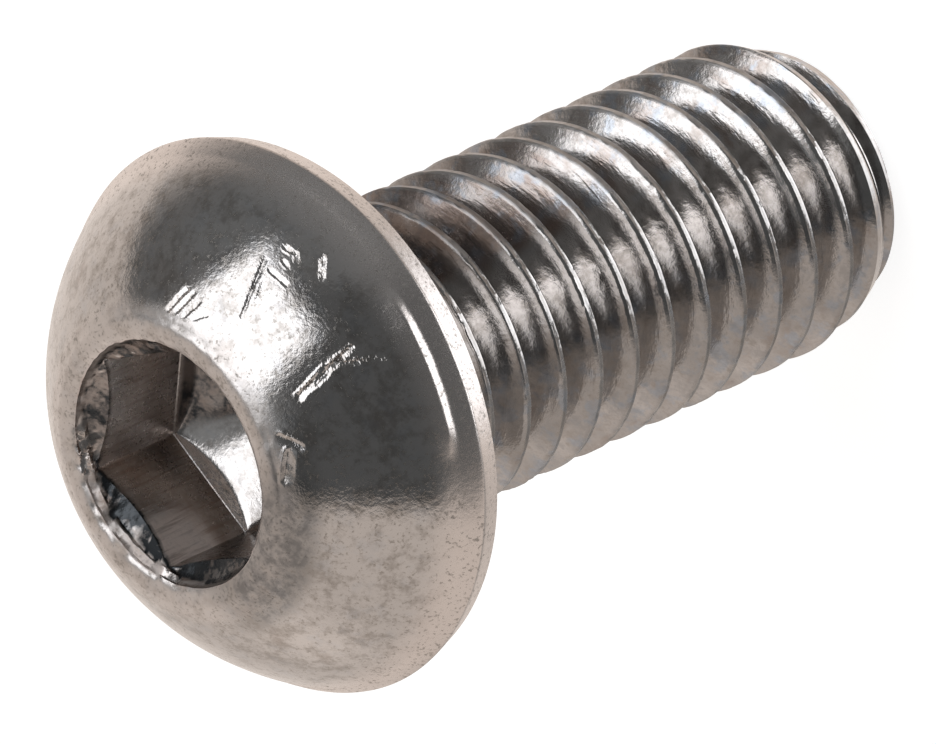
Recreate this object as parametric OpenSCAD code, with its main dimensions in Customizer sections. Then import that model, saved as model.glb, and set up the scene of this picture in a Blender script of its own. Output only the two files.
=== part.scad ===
// Button head hexagon socket screw with a right-hand metric thread.
// +Z runs along the axis towards the head. The origin is the centre of the head's bearing face.

/* [Head] */
// Diameter of the head at the widest point of its rim
head_d = 14; // [13:0.1:16]
// Height of the head, from its bearing face to the crest of the lip
head_h = 4.3; // [4:0.05:4.8]
// Radius of the domed side, in section
dome_r = 7.5; // [6.5:0.1:10]
// Height at which the dome meets the rim
rim_top = 1.02; // [0.95:0.01:1.2]
// Width of the small step that the heading die leaves at the foot of the dome
foot_step = 0.03; // [0.02:0.01:0.08]
// Height of the rim's widest point above the bearing face
rim_h = 0.6; // [0.5:0.01:0.7]
// Radius of the rounded edge there, in section
rim_r = 0.12; // [0.05:0.01:0.3]
// Slope of the rim above that edge, from upright
rim_slope = 28; // [10:1:40]
// Slope of the rim below that edge, from upright
undercut_slope = 18; // [5:1:30]

/* [Lip round the socket] */
// Radius of the lip's crest, in section
lip_r = 0.6; // [0.5:0.01:0.8]
// Distance from the mouth of the socket out to the middle of the lip
lip_w = 0.31; // [0.26:0.01:0.36]
// Direction, out from upright, in which the round of the lip meets the dome
lip_turn = 32; // [25:1:40]

/* [Hexagon socket] */
// Width of the hexagon across its flats
socket_w = 5.2; // [4.6:0.02:5.6]
// Depth of the foot of each flat below the crest of the lip
socket_depth = 3.05; // [2.4:0.05:3.2]
// Gap between the hexagon's corners and the round mouth above them
mouth_gap = 0.12; // [0.08:0.01:0.3]
// Depth of the mouth's upright wall below the crest of the lip
mouth_depth = 0.3; // [0.22:0.01:0.5]
// Slope of the cone that leads from the mouth into the hexagon, down from level
mouth_slope = 35; // [20:1:50]
// Width of the bevel along the foot of each flat
bevel_w = 0.28; // [0.2:0.01:0.4]
// Slope of that bevel, down from level
bevel_slope = 55; // [45:1:60]
// Slope of the conical floor, down from level
floor_slope = 28; // [20:1:32]
// Diameter of the flat middle of the floor, which the nose of the punch leaves
nose_d = 2.4; // [1.6:0.1:3.2]

/* [Shank] */
// Length of the shank, from the bearing face to the end face
shank_l = 17.5; // [8:0.5:22]
// Length of the plain neck under the head
neck_l = 1; // [0.8:0.05:1.6]
// Radius of the fillet between the neck and the bearing face
neck_fillet = 0.4; // [0.2:0.05:0.6]
// Length of the chamfered end
tip_l = 1.5; // [0.8:0.05:2]
// Diameter of the flat end face
tip_d = 6.6; // [6:0.05:7]

/* [Thread] */
// Diameter over the crests
thread_d = 7.95; // [7.76:0.01:7.97]
// Distance from one crest to the next
pitch = 1.25; // [1:0.05:1.5]
// Angle between two facing flanks
thread_angle = 60; // [55:1:60]
// Width of a rounded crest
crest_w = 0.23; // [0.2:0.01:0.3]
// Height of the round over a crest
crest_round = 0.04; // [0.02:0.005:0.06]
// Width of the rounded root between two flanks
root_w = 0.31; // [0.24:0.01:0.36]
// Turn of the thread's start about the axis
thread_turn = -59; // [-180:1:180]

/* [Hidden] */
$fn = 96;

// Rim and foot of the dome, in section. Both slopes of the rim run on from its rounded edge
head_rad = head_d / 2;
rim_x = head_rad - rim_r;
rim_high = [rim_x + rim_r * cos(rim_slope), rim_h + rim_r * sin(rim_slope)];
rim_low = [rim_x + rim_r * cos(undercut_slope), rim_h - rim_r * sin(undercut_slope)];
seat_rad = rim_low[0] - rim_low[1] * tan(undercut_slope);
rim_end = [rim_high[0] - (rim_top - rim_high[1]) * tan(rim_slope), rim_top];
dome_foot = rim_end - [foot_step, 0];

// Hexagon, its mouth and its floor
corner_rad = socket_w / 2 / cos(30);
mouth_rad = corner_rad + mouth_gap;
mouth_z = head_h - mouth_depth;
lead_in_h = mouth_rad * tan(mouth_slope);
foot_z = head_h - socket_depth;
floor_rad = socket_w / 2 - bevel_w;
nose_rad = nose_d / 2;
floor_z = foot_z - bevel_w * tan(bevel_slope) - (floor_rad - nose_rad) * tan(floor_slope);

// Lip and top of the dome, in section
lip_x = mouth_rad + lip_w;
lip_z = head_h - lip_r;
dome_top = [lip_x + lip_r * sin(lip_turn), lip_z + lip_r * cos(lip_turn)];

// Centre of the arc of radius dome_r that runs from dome_foot to dome_top
dome_chord = dome_top - dome_foot;
chord_l = norm(dome_chord);
outward = [dome_chord[1], -dome_chord[0]] / chord_l;
dome_centre = (dome_foot + dome_top) / 2 - outward * sqrt(dome_r ^ 2 - (chord_l / 2) ^ 2);

// Radii of the thread. A root is an arc of radius root_r that runs on from its two flanks
crest_rad = thread_d / 2;
flank_depth = (pitch - crest_w - root_w) / 2 / tan(thread_angle / 2);
root_r = root_w / 2 / cos(thread_angle / 2);
root_turn = 90 - thread_angle / 2;
root_rad = crest_rad - crest_round - flank_depth - root_r * (1 - cos(root_turn));
// One pitch of the outline, crest first: [distance down the axis, radius]
ridge = concat(
    [for (k = [-1:1]) [k * crest_w / 2, crest_rad - crest_round * k ^ 2]],
    [for (k = [-1:0.5:1]) let (turn = k * root_turn)
        [pitch / 2 + root_r * sin(turn), root_rad + root_r * (1 - cos(turn))]]
);
// The thread is rolled on a blank whose surface lies halfway up the flanks
blank_rad = (crest_rad + root_rad) / 2;
// It grows to its full depth over this length below the neck
run_in_l = pitch;
// It starts inside the head and ends past the end face, where the shank is faced off
rows = ceil(shank_l / pitch + 1.5) * len(ridge);
sides = 48;

// The neck is a little thicker than the blank, so that the thread starts from a clean shoulder
neck_rad = blank_rad + 0.05;
tip_rad = tip_d / 2;
// The cone of the chamfered end runs on outside the crests by this much
cone_over = 0.5;

// Share of its full depth that the thread has reached at height z
function grown(z) = min(max((-z - neck_l) / run_in_l, 0), 1);

// A point of the thread's surface. Each row is a helix that climbs one pitch in a turn
function thread_point(row, side) =
    let (
        step = ridge[row % len(ridge)],
        turns_down = floor(row / len(ridge)),
        z = pitch * (side / sides - turns_down) - step[0],
        r = blank_rad + (step[1] - blank_rad) * grown(z),
        angle = thread_turn + 360 * side / sides
    )
    [r * cos(angle), r * sin(angle), z];

function thread_index(row, side) = row * sides + side;

function halves(quad) = [[quad[0], quad[1], quad[2]], [quad[0], quad[2], quad[3]]];

// Triangles from a centre point to each edge of a closed loop
function fan(loop, centre) =
    [for (i = [0:len(loop) - 1]) [loop[i], loop[(i + 1) % len(loop)], centre]];

module head_section() {
    // Domed side, from the rim up to the lip
    intersection() {
        translate(dome_centre) circle(dome_r);
        translate([0, dome_foot[1]]) square([head_rad, dome_top[1] - dome_foot[1]]);
    }
    // Rim, from the bearing face up to the dome
    translate([rim_x, rim_h]) circle(rim_r);
    polygon([[0, 0], [seat_rad, 0], rim_low, rim_high, rim_end, [0, rim_top]]);
    // Lip round the mouth of the socket
    translate([lip_x, lip_z]) circle(lip_r);
}

module neck_section() {
    translate([0, -neck_l]) square([neck_rad, neck_l + rim_h]);
    difference() {
        translate([0, -neck_fillet]) square([neck_rad + neck_fillet, neck_fillet + rim_h]);
        translate([neck_rad + neck_fillet, -neck_fillet]) circle(neck_fillet);
    }
}

// The thread on its blank, longer than the shank at both ends
module rolled_thread() {
    last_side = sides - 1;
    last_row = rows - 1;
    one_turn = len(ridge);
    surface = [for (row = [0:last_row], side = [0:last_side]) thread_point(row, side)];
    round_the_side = [for (row = [0:last_row - 1], side = [0:last_side - 1]) each halves([
        thread_index(row, side), thread_index(row, side + 1),
        thread_index(row + 1, side + 1), thread_index(row + 1, side)
    ])];
    // After a full turn each row goes on as the row one pitch above it
    across_the_seam = [for (row = [one_turn:last_row - 1]) each halves([
        thread_index(row, last_side), thread_index(row - one_turn, 0),
        thread_index(row - one_turn + 1, 0), thread_index(row + 1, last_side)
    ])];
    top_loop = concat(
        [for (row = [one_turn:-1:1]) thread_index(row, last_side)],
        [for (side = [last_side:-1:0]) thread_index(0, side)]
    );
    end_loop = concat(
        [for (row = [last_row - one_turn:last_row]) thread_index(row, 0)],
        [for (side = [1:last_side]) thread_index(last_row, side)]
    );
    centres = [[0, 0, pitch], [0, 0, -pitch * rows / one_turn]];
    polyhedron(
        points = concat(surface, centres),
        faces = concat(
            round_the_side,
            across_the_seam,
            fan(top_loop, len(surface)),
            fan(end_loop, len(surface) + 1)
        )
    );
}

// The outline that facing and chamfering leave of the shank's end
module faced_end() {
    cone_l = tip_l * (1 + cone_over / (crest_rad - tip_rad));
    top = 2 * pitch;
    rotate_extrude()
        polygon([
            [0, -shank_l],
            [tip_rad, -shank_l],
            [crest_rad + cone_over, -shank_l + cone_l],
            [crest_rad + cone_over, top],
            [0, top]
        ]);
}

// Hexagon with a bevel along the foot of each flat, over a conical floor with a flat middle
module hexagon_hole() {
    intersection() {
        difference() {
            translate([0, 0, floor_z])
                cylinder(h = head_h - floor_z, r = corner_rad, $fn = 6);
            for (flat = [30:60:330])
                rotate(flat)
                    translate([socket_w / 2, 0, foot_z])
                        rotate([0, -bevel_slope, 0])
                            translate([-socket_w, -socket_w, -socket_w])
                                cube([2 * socket_w, 2 * socket_w, socket_w]);
        }
        translate([0, 0, floor_z])
            rotate_extrude()
                polygon([
                    [0, 0],
                    [nose_rad, 0],
                    [mouth_rad, (mouth_rad - nose_rad) * tan(floor_slope)],
                    [mouth_rad, head_h],
                    [0, head_h]
                ]);
    }
}

// Round mouth with an upright wall, and the cone that leads down into the hexagon
module socket_mouth() {
    translate([0, 0, mouth_z])
        cylinder(h = head_h, r = mouth_rad);
    translate([0, 0, mouth_z - lead_in_h])
        cylinder(h = lead_in_h, r1 = 0, r2 = mouth_rad);
}

module screw() {
    color([0.66, 0.64, 0.61])
        difference() {
            union() {
                rotate_extrude() {
                    head_section();
                    neck_section();
                }
                intersection() {
                    rolled_thread();
                    faced_end();
                }
            }
            hexagon_hole();
            socket_mouth();
        }
}

screw();
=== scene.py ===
# %% [markdown]
# # Button head socket screw
# This notebook dresses one short machine screw: a domed head with a hexagon socket, and a
# right-hand thread that runs up to the head. The plain solid of the screw comes from the packed
# model, which stands on its end with the head up. Here it gets what a real cold-headed screw has:
# worn crests, dents in the dome, tool marks in the socket, and stained stainless steel.

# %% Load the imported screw
import math

import bpy
import numpy as np
from mathutils import Matrix, Vector, noise


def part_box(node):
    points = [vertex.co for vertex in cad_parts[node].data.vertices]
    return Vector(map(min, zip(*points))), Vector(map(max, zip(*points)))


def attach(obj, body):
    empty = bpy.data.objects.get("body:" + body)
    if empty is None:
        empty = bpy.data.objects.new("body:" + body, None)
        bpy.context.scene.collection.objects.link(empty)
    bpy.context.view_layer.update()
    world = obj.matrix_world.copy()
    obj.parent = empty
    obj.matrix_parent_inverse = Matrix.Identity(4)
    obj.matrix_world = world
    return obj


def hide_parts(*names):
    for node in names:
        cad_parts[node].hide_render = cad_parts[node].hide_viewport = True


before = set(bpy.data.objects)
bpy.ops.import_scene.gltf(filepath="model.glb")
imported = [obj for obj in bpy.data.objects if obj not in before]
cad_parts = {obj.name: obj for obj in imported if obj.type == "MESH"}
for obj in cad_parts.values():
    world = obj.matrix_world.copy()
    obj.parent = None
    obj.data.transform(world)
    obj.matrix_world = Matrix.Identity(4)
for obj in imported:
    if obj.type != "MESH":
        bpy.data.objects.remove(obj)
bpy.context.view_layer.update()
print("packed nodes:", sorted(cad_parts))

# %% [markdown]
# ## Sizes
# A screw is drawn in millimetres, while Blender works in metres. So every size below is in
# millimetres, and the finished mesh is scaled once at the end. The three sizes that set the
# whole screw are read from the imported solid, so the dressed screw can't drift away from it. The
# others have the names that they have on the solid's drawing.

# %% Sizes of the head
MM = 0.001
screw_low, screw_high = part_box("screw")
HEAD_RAD = screw_high[0] / MM
HEAD_H = screw_high[2] / MM
SHANK_L = -screw_low[2] / MM

DOME_R = 7.5
RIM_TOP = 1.02
FOOT_STEP = 0.03
RIM_H = 0.6
RIM_R = 0.12
RIM_SLOPE = math.radians(28)
UNDERCUT_SLOPE = math.radians(18)
LIP_R = 0.6
LIP_W = 0.31
LIP_TURN = math.radians(32)
print(f"head {2 * HEAD_RAD:.1f} across and {HEAD_H:.1f} high, shank {SHANK_L:.1f} long")

# %% Sizes of the socket
SOCKET_W = 5.2
SOCKET_DEPTH = 3.05
MOUTH_GAP = 0.12
MOUTH_DEPTH = 0.3
MOUTH_SLOPE = math.radians(35)
BEVEL_W = 0.28
BEVEL_SLOPE = math.radians(55)
FLOOR_SLOPE = math.radians(28)
# The nose of the punch leaves a shallow dish in the middle of the floor
NOSE_RAD = 1.2
NOSE_DIP = 0.22
print(f"hexagon {SOCKET_W} across its flats, {SOCKET_DEPTH} deep")

# %% Sizes of the shank and its thread
NECK_L = 1.0
NECK_FILLET = 0.4
TIP_L = 1.5
TIP_RAD = 3.3
THREAD_RAD = 7.95 / 2
PITCH = 1.25
HALF_THREAD_ANGLE = math.radians(30)
# Width of a crest, and how far its round falls at both sides
CREST_W = 0.21
CREST_ROUND = 0.04
# Width of a root, and how far its hollow rises at both sides
ROOT_W = 0.20
ROOT_DEPTH = 0.05
THREAD_TURN = math.radians(-59)
# Diameter of the wire that the thread is rolled on
BLANK_D = 7.21
# Height of the small shoulder between the neck and that wire
SHOULDER_H = 0.12
print(f"thread {2 * THREAD_RAD} over its crests, one turn in {PITCH}")

# %% [markdown]
# ## The section of the head
# A turned or cold-headed head is round about its axis, so its shape is a section: a chain of
# lines and arcs in the plane of radius and height. Arcs are worked out from their centres, the
# way they would be set out on a drawing, so that neighbours meet exactly.

# %% Corners of the section
corner_rad = SOCKET_W / 2 / math.cos(math.pi / 6)
mouth_rad = corner_rad + MOUTH_GAP
mouth_z = HEAD_H - MOUTH_DEPTH
foot_z = HEAD_H - SOCKET_DEPTH
floor_rad = SOCKET_W / 2 - BEVEL_W
floor_z = foot_z - BEVEL_W * math.tan(BEVEL_SLOPE)
floor_z -= (floor_rad - NOSE_RAD) * math.tan(FLOOR_SLOPE)

lip_centre = np.array([mouth_rad + LIP_W, HEAD_H - LIP_R])
rim_centre = np.array([HEAD_RAD - RIM_R, RIM_H])
print(f"mouth {2 * mouth_rad:.2f} across, round corners of {2 * corner_rad:.2f}")


# %% Arcs, lines and chains
def arc(centre, radius, start, end, count):
    """Points on an arc of the section, from one direction to another, in radians up from level."""
    turn = np.linspace(start, end, count)
    return np.stack([centre[0] + radius * np.cos(turn), centre[1] + radius * np.sin(turn)], axis=1)


def line(start, end, count):
    """Evenly spaced points on a straight stretch of the section, both ends included."""
    share = np.linspace(0, 1, count)[:, None]
    return np.asarray(start) * (1 - share) + np.asarray(end) * share


def join(*stretches):
    """Stretches of the section as one chain, without repeating the points where they meet."""
    chain = [stretches[0]]
    for stretch in stretches[1:]:
        chain.append(stretch[1:])
    return np.concatenate(chain)


# %% Dome and rim
lip_end = math.pi / 2 - LIP_TURN
lip_start = math.pi - math.acos(LIP_W / LIP_R)
dome_top = arc(lip_centre, LIP_R, lip_end, lip_end, 1)[0]
rim_high = arc(rim_centre, RIM_R, RIM_SLOPE, RIM_SLOPE, 1)[0]
rim_low = arc(rim_centre, RIM_R, -UNDERCUT_SLOPE, -UNDERCUT_SLOPE, 1)[0]
seat_rad = rim_low[0] - rim_low[1] * math.tan(UNDERCUT_SLOPE)
rim_end = np.array([rim_high[0] - (RIM_TOP - rim_high[1]) * math.tan(RIM_SLOPE), RIM_TOP])
dome_foot = rim_end - (FOOT_STEP, 0)

chord = dome_top - dome_foot
half_chord = np.linalg.norm(chord) / 2
outward = np.array([chord[1], -chord[0]]) / (2 * half_chord)
dome_centre = (dome_foot + dome_top) / 2 - outward * math.sqrt(DOME_R**2 - half_chord**2)


def direction_from(centre, point):
    """Direction of a point of the section seen from an arc's centre, in radians up from level."""
    return math.atan2(point[1] - centre[1], point[0] - centre[0])


dome_start = direction_from(dome_centre, dome_top)
dome_end = direction_from(dome_centre, dome_foot)
print(f"dome foot leans {math.degrees(dome_end):.1f} degrees, crown {math.degrees(dome_start):.1f}")

# %% [markdown]
# ## The camera
# The screw is about 20 mm long, so a small-product photographer stands well back with a long
# lens, which keeps the sides of the shank almost parallel. The camera looks down on the head at
# about 40 degrees and is rolled, so that the upright screw lies across the picture. Its three
# axes are kept, because the studio is painted with them too.

# %% Camera directions
# Where the camera stands, round the screw and up from level, and how far it is rolled
CAMERA_AZIMUTH = math.radians(-108.2)
CAMERA_ELEVATION = math.radians(40.1)
CAMERA_ROLL = math.radians(-114.5)
# Its distance and its lens in millimetres, and the point it looks at
CAMERA_DISTANCE = 528.75
CAMERA_LENS = 850.9
CAMERA_AIM = Vector((-1.753, -2.254, -3.192))

towards_camera = Vector((
    math.cos(CAMERA_ELEVATION) * math.cos(CAMERA_AZIMUTH),
    math.cos(CAMERA_ELEVATION) * math.sin(CAMERA_AZIMUTH),
    math.sin(CAMERA_ELEVATION),
))
level_right = Vector((0, 0, 1)).cross(towards_camera).normalized()
level_up = towards_camera.cross(level_right)
picture_right = math.cos(CAMERA_ROLL) * level_right + math.sin(CAMERA_ROLL) * level_up
picture_up = math.cos(CAMERA_ROLL) * level_up - math.sin(CAMERA_ROLL) * level_right


def facing(direction, up):
    """Rotation of a camera that looks against direction, with up in its picture."""
    back = direction.normalized()
    right = up.cross(back).normalized()
    return Matrix((right, back.cross(right), back)).transposed().to_4x4()


# %% Camera
camera_data = bpy.data.cameras.new("camera")
camera_data.lens = CAMERA_LENS
camera_data.clip_end = 20
camera = bpy.data.objects.new("camera", camera_data)
camera_place = (CAMERA_AIM + towards_camera * CAMERA_DISTANCE) * MM
camera.matrix_world = Matrix.Translation(camera_place) @ facing(towards_camera, picture_up)
bpy.context.scene.collection.objects.link(camera)
bpy.context.scene.camera = camera
bpy.context.scene.view_settings.view_transform = "Standard"
print("camera at", [round(c, 4) for c in camera_place])

# %% [markdown]
# ## The head as rings of points
# The head could be a lathe shape with the socket cut out by a boolean, but a boolean leaves long
# thin triangles that show as smears on polished metal. So it is laid out as rings instead, all
# with the same number of columns. Columns fall on the corners of the hexagon, and each ring may
# change its radius and height from column to column, which turns the round mouth into a hexagon.
# The rings run from the middle of the socket's floor up its flats, over the lip, down the dome
# and in under the head to the neck.

# %% Columns round the screw
COLUMNS = 258
column_angle = np.arange(COLUMNS) * 2 * math.pi / COLUMNS
# Cosine of the turn from the middle of the nearest flat of the hexagon
flat_cos = np.cos((column_angle % (math.pi / 3)) - math.pi / 6)


def ring(radius, height):
    """One ring of points. Radius and height are single values, or one for each column."""
    radius = np.broadcast_to(radius, COLUMNS)
    height = np.broadcast_to(height, COLUMNS)
    return np.stack([radius * np.cos(column_angle), radius * np.sin(column_angle), height], axis=1)


# %% Outlines of the socket
# Each has one value for a column: the hexagon, the foot of its bevel, and the top of its flats,
# where the cone under the round mouth cuts them
hex_rad = SOCKET_W / 2 / flat_cos
bevel_tan = math.tan(BEVEL_SLOPE)
floor_tan = math.tan(FLOOR_SLOPE)
bevel_foot = floor_z - NOSE_RAD * floor_tan - foot_z + SOCKET_W / 2 * bevel_tan
bevel_foot = bevel_foot / (flat_cos * bevel_tan - floor_tan)
wall_top = mouth_z - (mouth_rad - hex_rad) * math.tan(MOUTH_SLOPE)
print(f"tops of the flats from {wall_top.min():.2f} to {wall_top.max():.2f} high")

# %% Rings of the socket
FLOOR_RINGS = 9
WALL_RINGS = 17
# The punch leaves a fine burr where its corner stopped, along the foot of each flat
BURR = 0.02

rings = []
for share in (0.3, 0.6, 0.85, 1.0):
    rings.append(ring(share * NOSE_RAD, floor_z - NOSE_DIP * (1 - share**2)))
for share in np.linspace(0, 1, FLOOR_RINGS + 1)[1:]:
    out = share * (bevel_foot - NOSE_RAD)
    rings.append(ring(NOSE_RAD + out, floor_z + out * floor_tan))
for share in (0.35, 0.7, 1.0):
    bevel_rad = bevel_foot + share * (hex_rad - bevel_foot)
    rings.append(ring(bevel_rad, foot_z - (SOCKET_W / 2 - bevel_rad * flat_cos) * bevel_tan))
rings.append(ring(hex_rad - BURR, foot_z + BURR))
rings.append(ring(hex_rad, foot_z + 2 * BURR))
for share in np.linspace(0, 1, WALL_RINGS + 1)[1:]:
    rings.append(ring(hex_rad, foot_z + share * (wall_top - foot_z)))
for share in (0.25, 0.5, 0.75, 1.0):
    rings.append(ring(hex_rad + share * (mouth_rad - hex_rad), wall_top + share * (mouth_z - wall_top)))
socket_rings = len(rings)
print(f"socket: {socket_rings} rings, floor at {floor_z:.2f}, flats from {foot_z:.2f}")

# %% [markdown]
# ## From the lip to the neck
# The outside is plain round, so each ring is one point of the section. Tumbling has rounded the
# corner between the dome and the rim, so the points near it are averaged with their neighbours a
# few times. A bevel modifier would round it too, but it would round every other edge as well.

# %% Radii of the neck and the thread
# Height at which the head's rings end and the shank's lattice begins
SHANK_START = -0.45

flank_depth = (PITCH - CREST_W - ROOT_W) / 2 / math.tan(HALF_THREAD_ANGLE)
root_rad = THREAD_RAD - CREST_ROUND - flank_depth - ROOT_DEPTH
blank_rad = BLANK_D / 2
neck_rad = blank_rad + 0.05
fillet_centre = np.array([neck_rad + NECK_FILLET, -NECK_FILLET])
print(f"neck {2 * neck_rad:.2f} thick, root of the thread {2 * root_rad:.2f}")

# %% Section of the lip, dome, rim and neck
# Heights of the die's step on the dome: its foot, its edge, and where it has run out
STEP_LOW = 1.04
STEP_EDGE = 1.26
STEP_TOP = 1.70
# The rings of the dome lie closer together from a little above the step
step_above = math.asin((STEP_TOP + 0.1 - dome_centre[1]) / DOME_R)
section = join(
    line((mouth_rad, mouth_z), (mouth_rad, lip_centre[1] + LIP_R * math.sin(lip_start)), 4),
    arc(lip_centre, LIP_R, lip_start, lip_end, 14),
    arc(dome_centre, DOME_R, dome_start, step_above, 45),
    arc(dome_centre, DOME_R, step_above, dome_end, 20),
    line(dome_foot, rim_end, 2),
    line(rim_end, rim_high, 5),
    arc(rim_centre, RIM_R, RIM_SLOPE, -UNDERCUT_SLOPE, 6),
    line(rim_low, (seat_rad, 0), 6),
    line((seat_rad, 0), (fillet_centre[0], 0), 7),
    arc(fillet_centre, NECK_FILLET, math.pi / 2, math.pi, 7),
    line((neck_rad, -NECK_FILLET), (neck_rad, SHANK_START), 2),
)
print(f"section of the head: {len(section)} points")

# %% Soften the corner above the rim
SOFTENING = 8
SOFT_REACH = 0.35
soft = (np.abs(section[:, 1] - RIM_TOP) < SOFT_REACH) & (section[:, 0] > lip_centre[0])
for _ in range(SOFTENING):
    average = (np.roll(section, 1, axis=0) + 2 * section + np.roll(section, -1, axis=0)) / 4
    section[soft] = average[soft]
print(f"softened {soft.sum()} points, {SOFTENING} times")

# %% [markdown]
# ## The step that the die left
# The die that formed the head left a low step above the rim on one side. It is a tenth of a
# millimetre wide at most, but it catches the light all along its length. Painted on, it would
# stay dark when the light moves, so the rings really bend out there. The step rises steeply to
# its edge, falls back slowly to the dome above it, and fades out at both ends.

# %% Rings of the outside
# Middle and half length of the step, in degrees round the axis, and its width
STEP_MIDDLE = -113
STEP_REACH = 17
STEP_W = 0.10
aside = np.abs(np.degrees(column_angle) - 360 - STEP_MIDDLE)
step_share = np.clip((STEP_REACH + 2 - aside) / 5, 0, 1)
step_share *= 1 + 0.3 * np.array([noise.noise(Vector((0.35 * k, 0, 0))) for k in range(COLUMNS)])
for ring_rad, ring_z in section[1:]:
    on_step = np.interp(ring_z, (STEP_LOW, STEP_EDGE, STEP_TOP), (0, 1, 0))
    on_step = on_step * (ring_rad > lip_centre[0])
    rings.append(ring(ring_rad + STEP_W * on_step * step_share, ring_z))
head_rings = len(rings)
print(f"head: {head_rings} rings of {COLUMNS} points")

# %% [markdown]
# ## The thread as a lattice
# A rolled thread is a ridge that winds round the blank. Rows that follow the helix keep its
# crests and roots crisp, where level rows would cut them into steps. After a full turn each row
# carries on as the row one pitch above it. Rows that reach above the neck, or below the end
# face, are gathered onto a level ring there, so the lattice closes without a gap.

# %% One pitch of the thread
# In rolling, the metal climbs both walls of the die and leaves a fine seam where it meets
SEAM_DEPTH = 0.018


def thread_pitch():
    """Points of one pitch, crest first: distance down the axis, and radius."""
    # Across the crest from -1 to 1. It is almost flat in the middle and turns down at its sides
    across = np.array([-1, -0.6, 0, 0.6, 1])
    crest_shape = THREAD_RAD - CREST_ROUND * np.abs(across) ** 3
    crest = np.stack([across * CREST_W / 2, crest_shape], axis=1)
    crest[2, 1] -= SEAM_DEPTH
    # The root is hollow: flat at the bottom, and it turns up into the flanks
    across = np.array([-1, -0.72, 0, 0.72, 1])
    root_shape = root_rad + ROOT_DEPTH * across**4
    root = np.stack([PITCH / 2 + across * ROOT_W / 2, root_shape], axis=1)
    # Nicks are cut into the flank below the next crest too, so that one has more rows
    falling = (crest[-1:] + root[:1]) / 2
    share = np.array([0.35, 0.7, 0.93])[:, None]
    rising = root[-1] * (1 - share) + (crest[0] + (PITCH, 0)) * share
    return np.concatenate([crest, falling, root, rising])


pitch_points = thread_pitch()
pitch_rows = len(pitch_points)
turns = math.ceil(SHANK_L / PITCH + 1.5) + 1
print(f"thread: {turns} turns of {pitch_rows} rows, root radius {root_rad:.3f}")

# %% [markdown]
# ## How the thread starts and ends
# Rolling dies press the ridges up out of the wire over about one turn, so the thread grows from
# the wire's surface to its full depth below the neck. The end of a screw is chamfered before
# rolling, so that it finds its nut. Here that is a cone which no point may stand out of.

# %% Heights and radii of the lattice
climb = ((column_angle - THREAD_TURN) % (2 * math.pi)) / (2 * math.pi)
lattice_columns = np.argsort(climb)
climb = climb[lattice_columns]
row_down = np.concatenate([turn * PITCH + pitch_points[:, 0] for turn in range(turns)])
row_rad = np.tile(pitch_points[:, 1], turns)
lattice_z = PITCH * climb[None, :] - row_down[:, None]

grown = np.clip((-lattice_z - NECK_L) / PITCH, 0, 1)
lattice_rad = blank_rad + (row_rad[:, None] - blank_rad) * grown
shoulder = np.clip((lattice_z + NECK_L) / SHOULDER_H, 0, 1)
lattice_rad += (neck_rad - blank_rad) * shoulder * (1 - grown)
chamfer = TIP_RAD + (THREAD_RAD - TIP_RAD) * (lattice_z + SHANK_L) / TIP_L
lattice_rad = np.minimum(lattice_rad, np.maximum(chamfer, TIP_RAD))
print(f"lattice: {len(lattice_z)} rows, radius {lattice_rad.min():.2f} to {lattice_rad.max():.2f}")

# %% [markdown]
# ## One closed mesh
# The rings of the head, the lattice of the thread and the end face share their points where
# they meet, so the screw is one closed skin with no seams in its shading. Only numpy arrays are
# handled here, because they are far quicker than adding faces to a Blender mesh one at a time.

# %% Triangles of the head
in_order = np.arange(COLUMNS)


def strip(upper, lower):
    """Triangles between two closed rows of point numbers. The outside lies to the viewer's side."""
    upper_next = np.roll(upper, -1)
    lower_next = np.roll(lower, -1)
    return np.concatenate([
        np.stack([upper, lower, lower_next], axis=1),
        np.stack([upper, lower_next, upper_next], axis=1),
    ])


def head_triangles():
    """Triangles round the middle of the socket's floor, then between each ring and the next."""
    first_ring = 1 + in_order
    made = [np.stack([np.zeros(COLUMNS, int), first_ring, np.roll(first_ring, -1)], axis=1)]
    for k in range(head_rings - 1):
        upper = 1 + k * COLUMNS + in_order
        made.append(strip(upper, upper + COLUMNS))
    return made


# %% Triangles of the shank
def number_lattice(top_ring, end_ring, first_free):
    """Point number of each place in the lattice, and which places have a point of their own."""
    numbers = np.empty(lattice_z.shape, int)
    above = lattice_z >= SHANK_START - 0.01
    below = lattice_z <= -SHANK_L + 0.01
    inside = ~above & ~below
    numbers[inside] = first_free + np.arange(inside.sum())
    numbers[above] = np.broadcast_to(top_ring, lattice_z.shape)[above]
    numbers[below] = np.broadcast_to(end_ring, lattice_z.shape)[below]
    return numbers, inside


def lattice_triangles(numbers):
    """Triangles between the rows, and those where a row goes on as the row one pitch above it."""
    made = []
    for k in range(len(numbers) - 1):
        upper, lower = numbers[k], numbers[k + 1]
        made.append(np.stack([upper[:-1], lower[:-1], lower[1:]], axis=1))
        made.append(np.stack([upper[:-1], lower[1:], upper[1:]], axis=1))
        if k >= pitch_rows:
            over_upper, over_lower = numbers[k - pitch_rows, 0], numbers[k - pitch_rows + 1, 0]
            made.append(np.array([[upper[-1], lower[-1], over_lower]]))
            made.append(np.array([[upper[-1], over_lower, over_upper]]))
    return made


# %% The end face
def end_face_ring(angle):
    """Points round the end face, where the shank's surface is cut off. One for each column."""
    end_radius = np.empty(COLUMNS)
    for column in range(COLUMNS):
        end_radius[column] = np.interp(SHANK_L, -lattice_z[:, column], lattice_rad[:, column])
    x = end_radius * np.cos(angle)
    y = end_radius * np.sin(angle)
    return np.stack([x, y, np.full(COLUMNS, -SHANK_L)], axis=1)


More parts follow.
